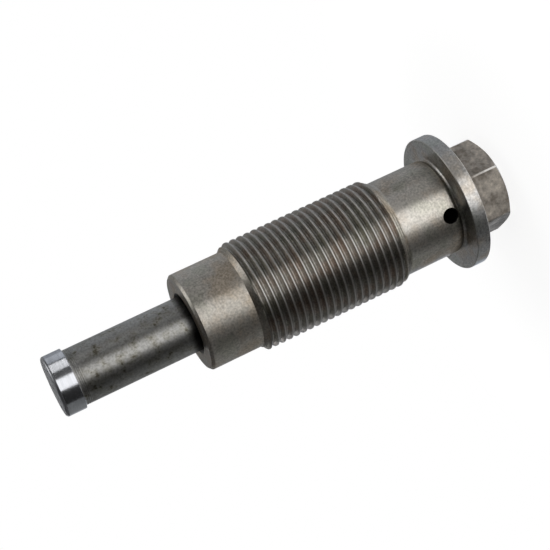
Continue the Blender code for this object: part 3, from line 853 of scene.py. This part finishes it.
def drill_oil_hole(obj, sizes):
    """Bores the radial hole with its broken edge."""
    radius = sizes.oil_hole / 2
    shank = sizes.shank / 2
    start = sizes.chamber / 4
    # The break goes on outwards past the shank, so that the cut is clean
    past = 0.001
    outline = [(0, start), (radius, start), (radius, shank - HOLE_EDGE), (radius + HOLE_EDGE, shank),
               (radius + HOLE_EDGE + past, shank + past), (0, shank + past)]
    points, faces = skin_rows(turned_rows(outline, even_angles(HOLE_COLUMNS)))
    turn = Matrix.Rotation(math.radians(90), 4, "X")
    rise = Vector((0, 0, sizes.oil_hole_height))
    cut_away(obj, ([turn @ Vector(point) + rise for point in points], faces))


def housing_wear(sizes, place):
    """How bright a point of the housing is rubbed: crest edges, rims, hexagon edges and the nose's edge."""
    reach = place.xy.length
    angle = math.atan2(place.y, place.x)
    flange_bottom = sizes.hexagon_height
    flange_top, cone_base, nose_base = housing_levels(sizes)
    if reach < sizes.relief / 2:
        return 0.0
    if cone_base < place.z < nose_base:
        if sizes.root / 2 + 2 * NEAR < reach < sizes.crest / 2 - CREST_RUB:
            return 0.0
        turns = (angle - GROOVE_START_ANGLE) % math.tau / math.tau
        share = ((place.z - cone_base - GROOVE_START) / sizes.pitch - turns + 0.5) % 1 - 0.5
        return 0.7 if abs(share) > CREST_SHARE else 0.0
    if reach > sizes.flange / 2 - sizes.flange_edge * 0.9:
        in_from_edge = min(place.z - flange_bottom, flange_top - place.z)
        return 1.0 if in_from_edge < sizes.flange_edge * 0.95 else 0.0
    if place.z < flange_bottom - 0.0005:
        return 1.0 if off_edge(angle) < edge_half_angle(sizes) * 0.8 or place.z < NEAR else 0.0
    if place.z > HOUSING_HIGH.z - sizes.nose_chamfer - 2 * NEAR:
        return 0.3 if reach > sizes.nose / 2 - sizes.nose_chamfer - 2 * NEAR else 0.0
    return 0.0


class TENSIONER_OT_housing(bpy.types.Operator):
    """Turned housing with its thread, hexagon, stepped bore and oil hole"""
    bl_idname = "tensioner.housing"
    bl_label = "Housing"

    def execute(self, context):
        sizes = context.scene.tensioner_housing
        colours = context.scene.tensioner_finishes
        turned, threaded, scaled, bored = range(4)
        piece = new_piece("housing_skin", housing_skin(sizes), turned_finish(colours, sizes),
                          thread_finish(colours), hexagon_finish(colours), bore_finish_painted_shade())
        drill_oil_hole(piece, sizes)
        cone_base, nose_base = housing_levels(sizes)[1:]
        thread_low = cone_base + sizes.run_out - 2 * NEAR
        thread_high = nose_base - (sizes.crest - sizes.nose) / 2 + 2 * NEAR
        # Lower than the point of the chamber
        bore_bottom = sizes.hexagon_height / 2

        def choose(face):
            """Finish of a face, from where it lies."""
            place = face.center
            reach = place.xy.length
            # Bores, the mouth's cone and the oil hole take the dark bore finish, which paints shade into
            # them
            bore = sizes.mouth / 2 if place.z > sizes.shoulder else sizes.relief / 2
            if reach < bore + NEAR and bore_bottom < place.z < HOUSING_HIGH.z - HAIR:
                return bored
            off_hole = math.hypot(place.x, place.z - sizes.oil_hole_height)
            if place.y < 0 and off_hole < sizes.oil_hole / 2 + NEAR:
                return bored
            if reach > sizes.relief / 2 and thread_low < place.z < thread_high:
                return threaded
            in_hexagon = place.z < sizes.hexagon_height - HAIR and reach < sizes.hexagon * 0.6
            return scaled if in_hexagon else turned

        assign_finishes(piece.data, choose)
        paint_points(piece.data, "worn", lambda place: housing_wear(sizes, place))
        keep_flats_flat(piece)
        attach(piece, "housing")
        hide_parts("housing")
        return {"FINISHED"}


def plunger_skin(sizes):
    """Skin of the plunger, from the centre mark on its face down to its tail and up its bore."""
    front = PLUNGER_HIGH.z
    tail = PLUNGER_LOW.z
    head = sizes.head / 2
    shaft = sizes.shaft / 2
    edge = sizes.head_edge
    rear = front - sizes.head_length
    bore = sizes.spring_bore / 2
    bore_end = front - sizes.crown
    drilled = bore - BORE_LEDGE
    groove_floor = sizes.ring_groove / 2
    groove = tail + sizes.tail_lip
    groove_top = groove + sizes.ring_groove_width
    outline = [(0, front - MARK_DEPTH), (MARK_RADIUS * 0.8, front - 0.00003), (MARK_RADIUS, front)]
    outline += arc((head - edge, front - edge), edge, 90, 0, 8)
    outline += arc((head - HEAD_REAR_EDGE, rear + HEAD_REAR_EDGE), HEAD_REAR_EDGE, 0, -90, 3)
    outline += arc((shaft + HEAD_FILLET, rear - HEAD_FILLET), HEAD_FILLET, 90, 180, 3)
    for ring in range(TOOL_RINGS):
        top = rear - TOOL_RING_START - TOOL_RING_PITCH * ring
        outline += [(shaft, top), (shaft - TOOL_RING_DEPTH, top - 0.00006), (shaft, top - 0.00014)]
    outline += [(shaft, groove_top), (groove_floor, groove_top), (groove_floor, groove), (shaft, groove)]
    outline += arc((shaft - TAIL_EDGE, tail + TAIL_EDGE), TAIL_EDGE, 0, -90, 4)
    outline += [(bore + TAIL_EDGE, tail), (bore, tail + TAIL_EDGE), (bore, bore_end), (drilled, bore_end),
                (0, bore_end + drilled / math.tan(DRILL_POINT))]
    return turned_skin(outline)


class TENSIONER_OT_plunger(bpy.types.Operator):
    """Plunger with its thrust head, ring groove and spring bore"""
    bl_idname = "tensioner.plunger"
    bl_label = "Plunger"

    def execute(self, context):
        sizes = context.scene.tensioner_plunger
        colours = context.scene.tensioner_finishes
        rear = PLUNGER_HIGH.z - sizes.head_length
        ground, quenched, bored = range(3)

        def choose(face):
            """Finish of a face, from where it lies."""
            if face.center.z > rear - HAIR:
                return ground
            return quenched if face.center.xy.length > sizes.spring_bore / 2 + 0.0002 else bored

        piece = new_piece("plunger_skin", plunger_skin(sizes), head_finish(colours, sizes),
                          shaft_finish(colours), bore_finish_painted_shade())
        assign_finishes(piece.data, choose)
        keep_flats_flat(piece)
        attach(piece, "plunger")
        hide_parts("plunger")
        return {"FINISHED"}


class TENSIONER_OT_plunger_parts(bpy.types.Operator):
    """Snap ring and oil filler pin that ride with the plunger"""
    bl_idname = "tensioner.plunger_parts"
    bl_label = "Snap ring and filler pin"

    def execute(self, context):
        sizes = context.scene.tensioner_plunger
        colours = context.scene.tensioner_finishes
        wire = (RING_HIGH.z - RING_LOW.z) / 2
        middle = (RING_HIGH.z + RING_LOW.z) / 2
        radius = RING_HIGH.y - wire
        path = []
        for step in range(RING_STEPS + 1):
            angle = math.radians(RING_GAP / 2 + (360 - RING_GAP) * step / RING_STEPS)
            path.append(Vector((radius * math.cos(angle), radius * math.sin(angle), middle)))
        ring = new_piece("snap_ring", wire_skin(path, wire), wire_finish(colours))
        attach(ring, "plunger")
        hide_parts("retaining_ring")

        shaft = sizes.pin / 2
        head = PIN_HIGH.x
        under = PIN_HIGH.z - sizes.pin_head_thickness
        outline = [(0, PIN_HIGH.z)]
        outline += arc((head - PIN_EDGE, PIN_HIGH.z - PIN_EDGE), PIN_EDGE, 90, 0, 3)
        outline += arc((head - PIN_EDGE, under + PIN_EDGE), PIN_EDGE, 0, -90, 3)
        outline += arc((shaft + PIN_FILLET, under - PIN_FILLET), PIN_FILLET, 90, 180, 3)
        outline += arc((shaft - PIN_TIP, PIN_LOW.z + PIN_TIP), PIN_TIP, 0, -90)
        outline.append((0, PIN_LOW.z))
        pin = new_piece("oil_filler", turned_skin(outline), nylon_finish(colours))
        keep_flats_flat(pin)
        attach(pin, "plunger")
        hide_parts("filler_pin")
        return {"FINISHED"}


class TENSIONER_OT_springs(bpy.types.Operator):
    """Main spring with closed and ground ends, and the small spring on the valve ball"""
    bl_idname = "tensioner.springs"
    bl_label = "Springs"

    def execute(self, context):
        sizes = context.scene.tensioner_plunger
        finish = wire_finish(context.scene.tensioner_finishes)
        wire = sizes.spring_wire / 2
        # The ends are ground to three quarters of the wire
        low = COIL_LOW.z + wire / 2
        high = COIL_HIGH.z - wire / 2
        path = coil_path(COIL_HIGH.x - wire, low, high, sizes.spring_turns, 2 * wire + sizes.spring_gap)
        main_spring = new_piece("main_spring", wire_skin(path, wire, COIL_LOW.z, COIL_HIGH.z), finish)
        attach(main_spring, "housing")
        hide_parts("plunger_spring")
        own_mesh(main_spring)

        sizes = context.scene.tensioner_valve
        wire = sizes.spring_wire / 2
        low = SMALL_COIL_LOW.z + wire
        high = SMALL_COIL_HIGH.z - wire
        turns = sizes.spring_turns
        path = coil_path(SMALL_COIL_HIGH.x - wire, low, high, turns, (high - low) / turns)
        ball_spring = new_piece("ball_spring", wire_skin(path, wire), finish)
        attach(ball_spring, "check_ball")
        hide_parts("valve_spring")
        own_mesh(ball_spring)
        return {"FINISHED"}


def seat_skin(sizes, ball):
    """Disc with the ball's cone above its orifice and an inlet cone below."""
    outer = SEAT_HIGH.x
    chamfer = sizes.seat_chamfer
    contact = ball / math.sqrt(2)
    orifice = contact - sizes.seat_land
    cone = contact + sizes.seat_cone
    return turned_skin([
        (orifice, SEAT_HIGH.z - (cone - orifice)), (cone, SEAT_HIGH.z),
        (outer - chamfer, SEAT_HIGH.z), (outer, SEAT_HIGH.z - chamfer),
        (outer, SEAT_LOW.z + chamfer), (outer - chamfer, SEAT_LOW.z),
        (orifice + sizes.seat_inlet, SEAT_LOW.z), (orifice, SEAT_LOW.z + sizes.seat_inlet),
    ], closed=True)


def cage_skin(sizes):
    """Stamped cup with a flange, bent with even thickness, before its windows are cut."""
    wall = sizes.cage_wall / 2
    sheet = sizes.cage_sheet
    bend = sizes.cage_bend
    edge = sheet / 4
    flange_top = CAGE_LOW.z + sheet
    hole = sizes.cage_hole / 2
    outline = arc((wall - bend, CAGE_HIGH.z - bend), bend, 90, 0)
    outline += arc((wall + edge, flange_top + edge), edge, 180, 270, 3)
    outline += arc((CAGE_HIGH.x - edge, flange_top - edge), edge, 90, 0, 3)
    outline.append((CAGE_HIGH.x, CAGE_LOW.z))
    outline += arc((wall + edge, flange_top + edge), edge + sheet, 270, 180)
    outline += arc((wall - bend, CAGE_HIGH.z - bend), bend - sheet, 0, 90, 3)
    outline += [(hole, CAGE_HIGH.z - sheet), (hole, CAGE_HIGH.z)]
    return turned_skin(outline, closed=True)


def window_tool(sizes, angle):
    """Rounded bar that cuts one window through the cage's wall."""
    corner = sizes.window_corner
    side = sizes.window / 2 - corner
    low = CAGE_LOW.z + sizes.cage_sheet + sizes.window_margin + corner
    high = CAGE_HIGH.z - sizes.cage_bend - sizes.window_margin - corner
    profile = []
    for centre, start in (((side, high), 0), ((-side, high), 90), ((-side, low), 180), ((side, low), 270)):
        profile += arc(centre, corner, start, start + 90, 4)
    middle = [(0, (low + high) / 2)] * len(profile)
    inner = sizes.cage_wall / 4
    outer = sizes.cage_wall
    turn = Matrix.Rotation(angle, 3, "Z")
    rows = []
    for reach, section in ((inner, middle), (inner, profile), (outer, profile), (outer, middle)):
        rows.append([turn @ Vector((reach, across, level)) for across, level in section])
    return skin_rows(rows)


class TENSIONER_OT_valve(bpy.types.Operator):
    """Non-return valve: its seat, its ball and the stamped cage with three windows"""
    bl_idname = "tensioner.valve"
    bl_label = "Check valve"

    def execute(self, context):
        sizes = context.scene.tensioner_valve
        radius = (BALL_HIGH.z - BALL_LOW.z) / 2
        middle = (BALL_HIGH.z + BALL_LOW.z) / 2
        ball = new_piece("valve_ball", turned_skin(arc((0, middle), radius, 90, -90, BALL_STEPS)),
                         ball_finish())
        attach(ball, "check_ball")
        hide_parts("check_ball")

        seat = new_piece("seat_disc", seat_skin(sizes, radius), seat_finish())
        keep_flats_flat(seat)
        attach(seat, "housing")
        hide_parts("valve_seat")

        cage = new_piece("stamped_cage", cage_skin(sizes), sheet_finish())
        for angle in even_angles(sizes.windows):
            cut_away(cage, window_tool(sizes, angle))
        keep_flats_flat(cage)
        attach(cage, "housing")
        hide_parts("ball_cage")
        return {"FINISHED"}


STAGE_CENTRE = Vector((0, 0, 0.045))
# Degrees from +X round to the camera's side
CAMERA_SIDE = -73
FLOOR_REACH = 30.0
CARD_COLUMNS = 24
CARD_ROWS = 8
# The brightest cards hang in front of the others
CARD_DISTANCE = 1.0
BRIGHT_CARD_DISTANCE = 0.95

# Camera: lens in millimetres, place in metres, and degrees
CAMERA_LENS = 96.466
CAMERA_PLACE = (0.0795130, -0.2600751, 0.1130074)
CAMERA_HEADING = 106.71897
CAMERA_DIP = 13.65886
CAMERA_ROLL = 115.25221

# Cards that reflections see: name, degrees round from the camera's side, degrees above the horizon,
# colour, and brightness where it isn't 1
CARDS = (
    ("front_middle", (-36, 20), (-39, 60), "#1A1A1A"),
    ("front_low", (-28, 30), (-60, -39), "#C4C4C4"),
    ("edge_top", (20, 44), (-5, 60), "#5E5E5E"),
    ("edge_middle", (20, 44), (-14, -5), "#505050"),
    ("edge_glow", (20, 31), (-39, -14), "#808080"),
    ("edge_low", (31, 44), (-39, -14), "#545454"),
    ("flag_top", (-80, -28), (-6, 60), "#2A2A2A"),
    ("flag_middle", (-80, -28), (-14, -6), "#363636"),
    ("flag_glow", (-46, -36), (-30, -14), "#7C7C7C"),
    ("flag_shank", (-80, -46), (-26, -14), "#525252"),
    ("flag_low", (-80, -28), (-52, -26), "#0C0C0C"),
    ("left_low", (30, 92), (-60, -31), "#FFFFFF"),
    ("left_near", (44, 80), (-31, -12), "#86888C"),
    ("left_seam", (80, 100), (-31, -13), "#74767A"),
    ("left_gap", (44, 88), (-12, 0), "#232528"),
    ("left_side", (100, 150), (-60, -13), "#9EA1A7"),
    ("left_corner", (92, 100), (-60, -31), "#9EA1A7"),
    ("left_shelf", (88, 150), (-13, -4.5), "#C8CCD2"),
    ("left_belt", (88, 126), (-4.5, 0), "#CCD0D6"),
    ("left_belt_end", (126, 150), (-4.5, 0), "#989CA2"),
    ("left_strip", (47, 82), (-3.3, -0.3), "#FFFFFF", 2.5),
    ("left_high", (44, 130), (0, 60), "#4C4C4C"),
    ("left_end", (150, 180), (-60, 0), "#8A8E94"),
    ("left_back", (130, 168), (18, 60), "#8A8A8A"),
    ("left_wall", (130, 168), (0, 18), "#909090"),
    ("back_wall", (168, 205), (0, 10.5), "#72767C"),
    ("back_middle", (168, 205), (10.5, 14.5), "#FFFFFF", 1.7),
    ("back_high", (168, 205), (14.5, 60), "#242629"),
    ("right_dark", (-125, -80), (-52, -21), "#0A0A0A"),
    ("right_ground", (-150, -28), (-66, -52), "#C8C8C8"),
    ("right_low", (-150, -125), (-52, -14), "#8C8E90"),
    ("right_near", (-125, -80), (-21, -12), "#BEC0C2"),
    ("right_gap", (-110, -80), (-12, -4), "#2C2E2E"),
    ("right_middle", (-150, -110), (-14, -4), "#989A9A"),
    ("right_strip", (-150, -80), (-4, 0), "#868888"),
    ("right_end", (-180, -150), (-15, 0), "#A8AAAE"),
    ("right_end_near", (-180, -150), (-20.5, -15), "#A4ACB8"),
    ("right_end_low", (-180, -150), (-60, -20.5), "#E1ECFC"),
    ("right_high", (-155, -80), (0, 60), "#505050"),
    ("front_ceiling", (-110, 41), (60, 90), "#161616"),
    ("left_ceiling", (41, 185), (60, 90), "#707070"),
    ("right_ceiling", (185, 250), (60, 90), "#3A3A3A"),
    ("ground_ring", (-28, 210), (-66, -60), "#C0C0C0"),
    ("ground_card", (-180, 180), (-90, -66), "#EEEEEE"),
)


def direction(turn, level):
    """Unit vector from degrees round from the camera's side and degrees above the horizon."""
    turn = math.radians(CAMERA_SIDE + turn)
    level = math.radians(level)
    return Vector((math.cos(turn) * math.cos(level), math.sin(turn) * math.cos(level), math.sin(level)))


def sphere_patch(name, turns, levels, colour, strength=1.0):
    """Card of even brightness that only reflections see."""
    distance = BRIGHT_CARD_DISTANCE if strength > 1 else CARD_DISTANCE
    columns = [turns[0] + (turns[1] - turns[0]) * step / CARD_COLUMNS for step in range(CARD_COLUMNS + 1)]
    rows = []
    for step in range(CARD_ROWS + 1):
        level = levels[0] + (levels[1] - levels[0]) * step / CARD_ROWS
        rows.append([STAGE_CENTRE + distance * direction(turn, level) for turn in columns])
    made, add = new_material(name + "_paper")
    add("OutputMaterial", {"Surface": add("Emission", {"Color": linear(colour), "Strength": strength})})
    made.cycles.emission_sampling = "NONE"
    card = new_piece(name, skin_rows(rows, around=False), made)
    card.visible_camera = False
    card.visible_diffuse = False
    card.visible_shadow = False


def area_lamp(name, turn, level, distance, width, height, brightness):
    """Soft box that faces the part. Brightness 1 shows white in a mirror."""
    lamp = bpy.data.lights.new(name, "AREA")
    lamp.shape = "RECTANGLE"
    lamp.size = width
    lamp.size_y = height
    lamp.energy = math.pi * width * height * brightness
    obj = new_object(name, lamp)
    arm = direction(turn, level)
    obj.location = STAGE_CENTRE + arm * distance
    obj.rotation_euler = arm.to_track_quat("Z", "Y").to_euler()


class TENSIONER_OT_stage(bpy.types.Operator):
    """Camera, pale floor, soft lamps, grey cards and plain world"""
    bl_idname = "tensioner.stage"
    bl_label = "Stage"

    def execute(self, context):
        scene = context.scene
        scene.view_settings.view_transform = "Standard"
        self.add_camera(scene)
        self.add_floor(scene)
        area_lamp("key_softbox", turn=-2, level=-17, distance=0.6, width=0.48, height=0.5, brightness=1.65)
        area_lamp("top_softbox", turn=100, level=56, distance=0.8, width=0.4, height=0.4, brightness=1.8)
        for card in CARDS:
            sphere_patch(*card)
        self.add_world(scene)
        return {"FINISHED"}

    def add_camera(self, scene):
        """Camera that lays the standing part across the picture."""
        lens = bpy.data.cameras.new("camera")
        lens.lens = CAMERA_LENS
        lens.clip_start = 0.01
        camera = new_object("camera", lens)
        camera.matrix_world = (
            Matrix.Translation(CAMERA_PLACE)
            @ Matrix.Rotation(math.radians(CAMERA_HEADING) - math.pi / 2, 4, "Z")
            @ Matrix.Rotation(math.pi / 2 - math.radians(CAMERA_DIP), 4, "X")
            @ Matrix.Rotation(-math.radians(CAMERA_ROLL), 4, "Z"))
        scene.camera = camera

    def add_floor(self, scene):
        """Pale floor that keeps the part's shadow near the part and runs out into white."""
        made, add, place = new_finish("pale_floor")
        paint = add("BsdfDiffuse", {"Color": scene.tensioner_finishes.floor})
        away = add("VectorMath", {0: place}, operation="LENGTH").outputs["Value"]
        near = add("MapRange", {"Value": away, "From Min": 0.02, "From Max": 0.07, "To Min": 0.3,
                                "To Max": 0.0}, interpolation_type="SMOOTHSTEP")
        # Near the part the white is brighter, which makes up for the paint mixed into it
        made_up = add("Math", {0: near, 1: 0.75, 2: 1.0}, operation="MULTIPLY_ADD")
        white = add("Emission", {"Color": (1, 1, 1, 1), "Strength": made_up})
        mixed = add("MixShader", {0: near, 1: white, 2: paint})
        seen = add("LightPath").outputs["Is Camera Ray"]
        shown = add("MixShader", {0: seen, 1: paint, 2: mixed})
        add("OutputMaterial", {"Surface": shown})
        made.cycles.emission_sampling = "NONE"
        low, high = -FLOOR_REACH, FLOOR_REACH
        corners = [(low, low, 0), (high, low, 0), (high, high, 0), (low, high, 0)]
        floor = new_piece("floor", (corners, [(0, 1, 2, 3)]), made)
        floor.visible_glossy = False
        floor.visible_shadow = False

    def add_world(self, scene):
        """World that is white to the camera, to gloss and to glass, and dimmer for what it lights."""
        world = bpy.data.worlds.new("plain_world")
        world.use_nodes = True
        world.node_tree.nodes.clear()
        add = functools.partial(add_node, world.node_tree)
        path = add("LightPath").outputs
        seen = add("Math", {0: path["Is Camera Ray"], 1: path["Is Glossy Ray"]}, operation="MAXIMUM")
        seen = add("Math", {0: seen, 1: path["Is Transmission Ray"]}, operation="MAXIMUM")
        strength = add("MapRange", {"Value": seen, "To Min": 0.4, "To Max": 1.0})
        glow = add("Background", {"Color": (1, 1, 1, 1), "Strength": strength})
        add("OutputWorld", {"Surface": glow})
        scene.world = world


OPERATORS = (TENSIONER_OT_stage, TENSIONER_OT_housing, TENSIONER_OT_plunger, TENSIONER_OT_plunger_parts,
             TENSIONER_OT_springs, TENSIONER_OT_valve)
GROUP_NAMES = ("tensioner_housing", "tensioner_plunger", "tensioner_valve", "tensioner_finishes")


class TENSIONER_PT_panel(bpy.types.Panel):
    """Lists the steps that dress the tensioner"""
    bl_idname = "TENSIONER_PT_panel"
    bl_label = "Timing chain tensioner"
    bl_space_type = "VIEW_3D"
    bl_region_type = "UI"
    bl_category = "Tensioner"

    def draw(self, context):
        for operator in OPERATORS:
            self.layout.operator(operator.bl_idname)
        for name in GROUP_NAMES:
            group = getattr(context.scene, name)
            box = self.layout.box()
            for key in group.__annotations__:
                box.prop(group, key)


CLASSES = (HousingSizes, PlungerSizes, ValveSizes, Finishes, *OPERATORS, TENSIONER_PT_panel)


def register():
    """Adds the classes and their settings to Blender."""
    for cls in CLASSES:
        bpy.utils.register_class(cls)
    scene = bpy.types.Scene
    scene.tensioner_housing = bpy.props.PointerProperty(
        name="Housing", description="Sizes of the housing", type=HousingSizes)
    scene.tensioner_plunger = bpy.props.PointerProperty(
        name="Plunger", description="Sizes of the plunger", type=PlungerSizes)
    scene.tensioner_valve = bpy.props.PointerProperty(
        name="Valve", description="Sizes of the valve", type=ValveSizes)
    scene.tensioner_finishes = bpy.props.PointerProperty(
        name="Finishes", description="Colours of the finishes", type=Finishes)


def unregister():
    """Takes them out again."""
    for name in GROUP_NAMES:
        delattr(bpy.types.Scene, name)
    for cls in reversed(CLASSES):
        bpy.utils.unregister_class(cls)


def main():
    """Dresses the frame."""
    register()
    bpy.ops.tensioner.stage()
    bpy.ops.tensioner.housing()
    bpy.ops.tensioner.plunger()
    bpy.ops.tensioner.plunger_parts()
    bpy.ops.tensioner.springs()
    bpy.ops.tensioner.valve()


if __name__ == "__main__":
    main()
